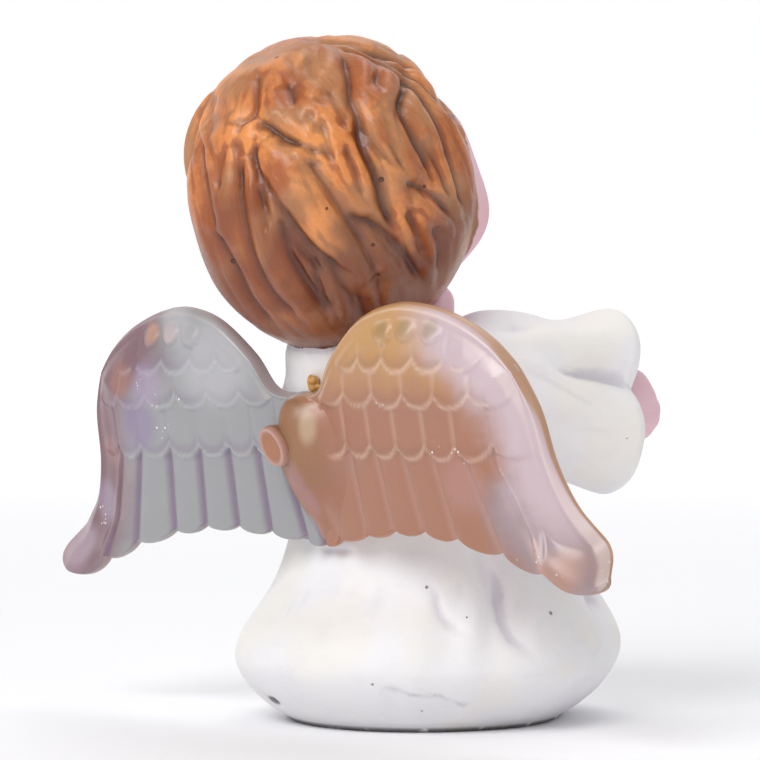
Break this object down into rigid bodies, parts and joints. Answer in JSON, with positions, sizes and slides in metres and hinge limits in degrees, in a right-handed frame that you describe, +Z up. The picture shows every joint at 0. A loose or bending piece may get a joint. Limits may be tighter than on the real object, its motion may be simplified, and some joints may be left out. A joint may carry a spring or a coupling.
{
  "type": "ceramic angel figurine",
  "caption": "Kneeling cherub figurine of cast, painted ceramic with a moulded pair of frosted wings glued to its back, standing on a flat underside.",
  "frame": {"origin": "middle of the flat underside", "axes": "+Z up, the figure faces -Y, its own left is +X, the wings are towards +Y"},
  "size_m": [0.0957, 0.0645, 0.0902],
  "materials": {
    "painted_ceramic": "satin hand-brushed paint: white robe, pale pink skin, copper-brown hair",
    "frosted_plastic": "frosted, slightly pearly translucent moulding",
    "dried_glue": "hardened amber glue"
  },
  "bodies": {
    "root": {"figure": "painted_ceramic", "wings": "frosted_plastic", "glue_bead": "dried_glue"}
  },
  "joints": []
}
